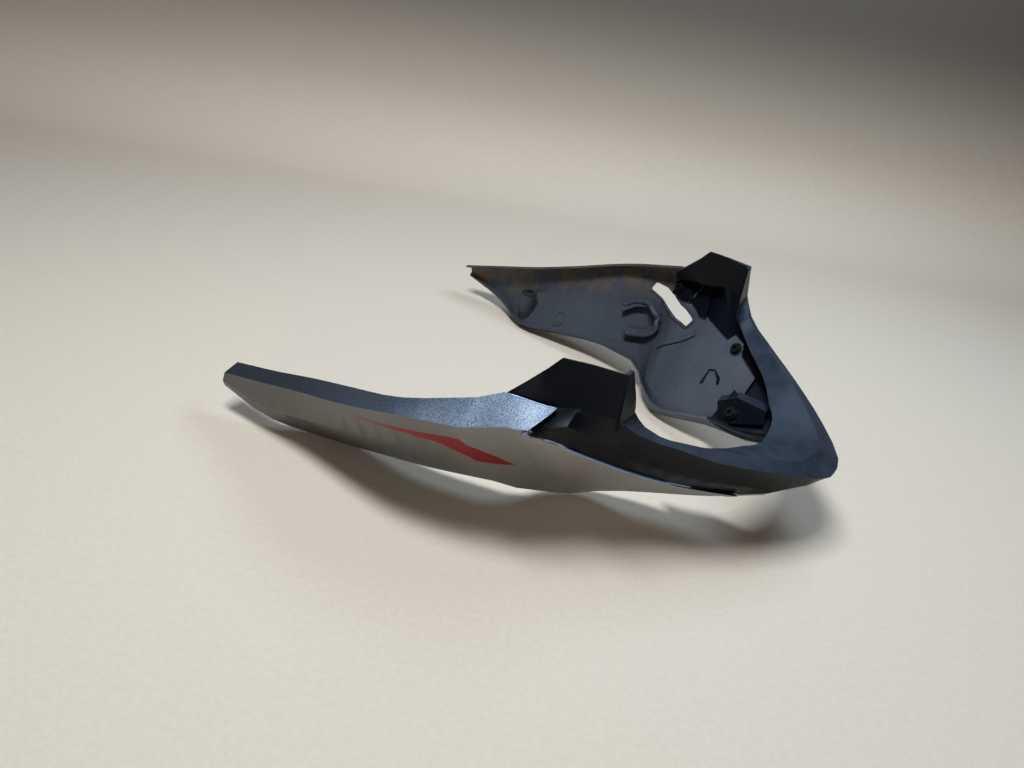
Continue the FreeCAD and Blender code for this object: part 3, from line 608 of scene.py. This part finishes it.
def joint_line(panel, cowl, side):
    """Points along the lower edge of the cowl, where it lies on the panel's outer face."""
    laid = []
    for step in range(BLADE_STEPS + 1):
        share = step / BLADE_STEPS
        forward = BLADE_START[0] + (BLADE_END[0] - BLADE_START[0]) * share
        height = BLADE_START[1] + (BLADE_END[1] - BLADE_START[1]) * min(1.0, BLADE_FALL * share)
        while height < BLADE_TOP:
            skin, reach = look_in(panel, side, forward, height)
            cover, cover_reach = look_in(cowl, side, forward, height)
            if cover is not None and (skin is None or cover_reach < reach):
                laid.append(cover + Vector((0.0, side * EDGE_LIFT, -EDGE_LIFT)))
                break
            height += SEARCH_STEP
    even = []
    for number in range(len(laid)):
        near = laid[max(0, number - 2):number + 3]
        even.append(sum(near, Vector((0.0, 0.0, 0.0))) / len(near))
    return even


def from_inside(surface, side, forward, height):
    """Where a level line from the middle first meets the panel, or None."""
    return surface.ray_cast(Vector((forward, 0.0, height)), Vector((0.0, side, 0.0)))[0]


def even_depth(points, side, sink):
    """Points with their depth smoothed along the run, and sunk into the rib."""
    result = []
    for number in range(len(points)):
        near = points[max(0, number - 3):number + 4]
        depth = min(abs(point.y) for point in near)
        result.append(Vector((points[number].x, side * (depth + sink), points[number].z)))
    return result


def rounded_ring(corners, radius, steps=4):
    """A closed outline with its corners rounded, with extra points along its sides."""
    corners = [Vector(corner) for corner in corners]
    ring = []
    for number, corner in enumerate(corners):
        back = (corners[number - 1] - corner).normalized()
        ahead_corner = corners[(number + 1) % len(corners)]
        ahead = (ahead_corner - corner).normalized()
        for step in range(steps + 1):
            t = step / steps
            ring.append(corner + back * radius * (1 - t) ** 2 + ahead * radius * t ** 2)
        start, end = corner + ahead * radius, ahead_corner - ahead * radius
        for step in range(1, steps):
            ring.append(start.lerp(end, step / steps))
    return ring


def slot_rim_points(surface, side):
    """The slot's rounded rim, at the depth of the panel's inner face just outside the opening."""
    ring = rounded_ring(SLOT_CORNERS, SLOT_ROUNDING)
    middle = sum(ring, Vector((0.0, 0.0))) / len(ring)
    depths = []
    for point in ring:
        away = (point - middle).normalized()
        hit = from_inside(surface, side, *(point + away * SLOT_LOOK[0]))
        if hit is None:
            hit = from_inside(surface, side, *(point + away * SLOT_LOOK[1]))
        depths.append(hit.y)
    laid = []
    for number, point in enumerate(ring):
        near = sorted(depths[(number + step) % len(ring)] for step in (-2, -1, 0, 1, 2))
        laid.append(Vector((point.x, near[2], point.y)))
    return laid


def painted_pocket_shade(name, surface, side, material):
    """The dark of the gap round the tongue as painted shade: a thin black strip on the pocket's floor."""
    points = []
    for outer, inner in zip(POCKET_EDGE, TONGUE_EDGE):
        middle = [(a + b) / 2 for a, b in zip(outer, inner)]
        floor = from_inside(surface, side, *middle)
        for forward, height in (outer, inner):
            points.append((forward, floor.y - side * POCKET_LIFT, height))
    faces = [(2 * n, 2 * n + 1, 2 * n + 3, 2 * n + 2) for n in range(len(POCKET_EDGE) - 1)]
    mesh = bpy.data.meshes.new(name)
    mesh.from_pydata(points, [], faces)
    mesh.materials.append(material)
    piece = bpy.data.objects.new(name, mesh)
    bpy.context.scene.collection.objects.link(piece)
    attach(piece, "root")


class BELLYPAN_OT_panels(bpy.types.Operator):
    """Paint the two side panels"""

    bl_idname = "bellypan.panels"
    bl_label = "Side panels"
    bl_options = {"REGISTER", "UNDO"}

    def execute(self, context):
        dress(nodes_like("side_panel"), panel_paint(context.scene.belly_pan_paint))
        return {"FINISHED"}


class BELLYPAN_OT_edges(bpy.types.Operator):
    """Lay the rolled edges with their painted highlight, the hook's crest, the slot's rim and the pocket's
    gap as painted shade on the panels
    """

    bl_idname = "bellypan.edges"
    bl_label = "Panel edges"
    bl_options = {"REGISTER", "UNDO"}

    def execute(self, context):
        colours = context.scene.belly_pan_paint
        # The rolled edges' light paint is a painted highlight.
        rolled = edge_paint(colours)
        bare = inner_plastic(colours)
        shade = cowl_plastic(context.scene.belly_pan_cowl)
        cowl = node_surface("centre_cowl")
        for word, side in (("left", 1), ("right", -1)):
            surface = node_surface("side_panel_" + word)
            notch = from_outside(surface, side, NOTCH_EDGE)
            bead("band_edge_" + word, on_skin(surface, side, BAND_EDGE), THIN_EDGE, rolled)
            bead("notch_edge_" + word, notch, THIN_EDGE, rolled)
            bead("blade_edge_" + word, notch[-1:] + joint_line(surface, cowl, side), BLADE_BEAD, rolled)
            crest = []
            for point in smooth_run(HOOK_LINE, 6):
                hit = from_inside(surface, side, point.x, point.y)
                crest.append(Vector((point.x, hit.y, point.y)))
            bead("hook_crest_" + word, even_depth(crest, side, HOOK_SINK), HOOK_BEAD, bare, taper=0.7)
            # Painted shade: a black strip on the pocket's floor stands for the dark gap.
            painted_pocket_shade("pocket_gap_" + word, surface, side, shade)
        rim = slot_rim_points(node_surface("side_panel_left"), 1)
        bead("slot_rim", rim, SLOT_BEAD, bare, closed=True)
        return {"FINISHED"}


class BELLYPAN_OT_cowl(bpy.types.Operator):
    """Give the nose cowl its black plastic"""

    bl_idname = "bellypan.cowl"
    bl_label = "Nose cowl"
    bl_options = {"REGISTER", "UNDO"}

    def execute(self, context):
        dress(nodes_like("centre_cowl"), cowl_plastic(context.scene.belly_pan_cowl))
        return {"FINISHED"}


class BELLYPAN_OT_screws(bpy.types.Operator):
    """Give the screws their blackened steel"""

    bl_idname = "bellypan.screws"
    bl_label = "Screws"
    bl_options = {"REGISTER", "UNDO"}

    def execute(self, context):
        steel = turned_metal("blackened_steel", (0.05, 0.05, 0.052), (0.025, 0.025, 0.026), 0.4)
        dress(nodes_like("screw_"), steel)
        return {"FINISHED"}


class BELLYPAN_OT_mounts(bpy.types.Operator):
    """Give the rear mounts their rubber and plated steel"""

    bl_idname = "bellypan.mounts"
    bl_label = "Rear mounts"
    bl_options = {"REGISTER", "UNDO"}

    def execute(self, context):
        steel = turned_metal("plated_steel", (0.45, 0.44, 0.42), (0.25, 0.24, 0.23), 0.3)
        dress(nodes_like("rear_grommet"), grommet_rubber())
        dress(nodes_like("rear_sleeve"), steel)
        return {"FINISHED"}


# Studio

def make_camera(focal_length):
    """The photograph's camera."""
    camera = bpy.data.objects.new("photo_camera", bpy.data.cameras.new("photo_camera"))
    bpy.context.scene.collection.objects.link(camera)
    axes = Matrix((CAMERA_RIGHT, CAMERA_UP, CAMERA_BACK)).transposed().to_4x4()
    camera.matrix_world = Matrix.Translation(CAMERA_PLACE) @ axes
    camera.data.sensor_width = 36.0
    camera.data.lens = focal_length
    camera.data.clip_start = 0.01
    bpy.context.scene.camera = camera


def area_light(name, power, place, target, width, height, colour):
    """A soft rectangular lamp that points at a target."""
    lamp = bpy.data.lights.new(name, "AREA")
    lamp.shape = "RECTANGLE"
    lamp.size = width
    lamp.size_y = height
    lamp.energy = power
    lamp.color = colour
    light = bpy.data.objects.new(name, lamp)
    light.location = place
    light.rotation_euler = (Vector(target) - Vector(place)).to_track_quat("-Z", "Y").to_euler()
    bpy.context.scene.collection.objects.link(light)


def paper_floor(colour):
    """Pale paper with fine fibres, with painted shade making it darker up the backdrop."""
    material, tree, shader = new_material("paper_floor")
    position, place, facing = surface_place(tree)
    fibres = ramp(tree, noise(tree, position, FIBRE, 3.0), 0.35, 0.65, 0.0, 0.2)
    paper = mix_colour(tree, fibres, tuple(colour), scaled(colour, 0.8))
    # Painted shade: the backdrop darkens with height.
    painted_shade = ramp(tree, place[2], *BACKDROP_SHADE_HEIGHTS)
    paper = mix_colour(tree, painted_shade, paper, scaled(colour, BACKDROP_PAINTED_SHADE))
    tree.links.new(paper, shader.inputs["Base Color"])
    shader.inputs["Roughness"].default_value = 0.85
    return material


def make_floor(colour):
    """A floor that sweeps up into a backdrop behind the part."""
    profile = [(FLOOR_NEAR, 0.0), (FLOOR_BEND, 0.0)]
    for step in range(1, BEND_STEPS + 1):
        turn = math.radians(90.0 / BEND_STEPS * step)
        profile.append((FLOOR_BEND + BEND_RADIUS * math.sin(turn), BEND_RADIUS * (1 - math.cos(turn))))
    profile.append((FLOOR_BEND + BEND_RADIUS, BACKDROP_HEIGHT))
    points = [(x, y, z) for y, z in profile for x in (-FLOOR_HALF_WIDTH, FLOOR_HALF_WIDTH)]
    faces = [(2 * n, 2 * n + 1, 2 * n + 3, 2 * n + 2) for n in range(len(profile) - 1)]
    mesh = bpy.data.meshes.new("floor")
    mesh.from_pydata(points, [], faces)
    for face in mesh.polygons:
        face.use_smooth = True
    mesh.materials.append(paper_floor(colour))
    floor = bpy.data.objects.new("floor", mesh)
    floor.rotation_euler.z = math.radians(FLOOR_TURN)
    floor.location.z = -FLOOR_DROP
    bpy.context.scene.collection.objects.link(floor)


class BELLYPAN_OT_stage(bpy.types.Operator):
    """Set up the floor, the lamps and the camera"""

    bl_idname = "bellypan.stage"
    bl_label = "Studio"
    bl_options = {"REGISTER", "UNDO"}

    def execute(self, context):
        studio = context.scene.belly_pan_stage
        make_camera(studio.focal_length)
        make_floor(studio.floor)
        for name, (power, *lamp) in LAMPS.items():
            area_light(name, getattr(studio, power), *lamp)
        world = bpy.data.worlds.new("studio_air")
        context.scene.world = world
        world.use_nodes = True
        background = world.node_tree.nodes["Background"]
        background.inputs["Color"].default_value = (*AIR_COLOUR, 1.0)
        background.inputs["Strength"].default_value = studio.ambient
        context.scene.view_settings.view_transform = "Standard"
        return {"FINISHED"}


class BELLYPAN_PT_sidebar(bpy.types.Panel):
    """Lists the belly pan's finishes and its studio"""

    bl_idname = "BELLYPAN_PT_sidebar"
    bl_label = "Belly Pan"
    bl_space_type = "VIEW_3D"
    bl_region_type = "UI"
    bl_category = "Belly Pan"

    def draw(self, context):
        layout = self.layout
        for group, operators in (
                (context.scene.belly_pan_paint, (BELLYPAN_OT_panels, BELLYPAN_OT_edges)),
                (context.scene.belly_pan_cowl, (BELLYPAN_OT_cowl, BELLYPAN_OT_screws, BELLYPAN_OT_mounts)),
                (context.scene.belly_pan_stage, (BELLYPAN_OT_stage,))):
            box = layout.box()
            for key in group.__annotations__:
                box.prop(group, key)
            for operator in operators:
                box.operator(operator.bl_idname)


GROUPS = {
    "belly_pan_paint": BellyPanPaint,
    "belly_pan_cowl": BellyPanCowl,
    "belly_pan_stage": BellyPanStage,
}
OPERATORS = (BELLYPAN_OT_panels, BELLYPAN_OT_edges, BELLYPAN_OT_cowl,
             BELLYPAN_OT_screws, BELLYPAN_OT_mounts, BELLYPAN_OT_stage)
CLASSES = (*GROUPS.values(), *OPERATORS, BELLYPAN_PT_sidebar)


def register():
    """Register the classes and their settings on the scene."""
    for cls in CLASSES:
        bpy.utils.register_class(cls)
    for name, group in GROUPS.items():
        setattr(bpy.types.Scene, name, bpy.props.PointerProperty(type=group))


def unregister():
    """Take the settings and the classes away again."""
    for name in GROUPS:
        delattr(bpy.types.Scene, name)
    for cls in reversed(CLASSES):
        bpy.utils.unregister_class(cls)


def main():
    """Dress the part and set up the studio."""
    register()
    bpy.ops.bellypan.panels()
    bpy.ops.bellypan.edges()
    bpy.ops.bellypan.cowl()
    bpy.ops.bellypan.screws()
    bpy.ops.bellypan.mounts()
    bpy.ops.bellypan.stage()


if __name__ == "__main__":
    main()
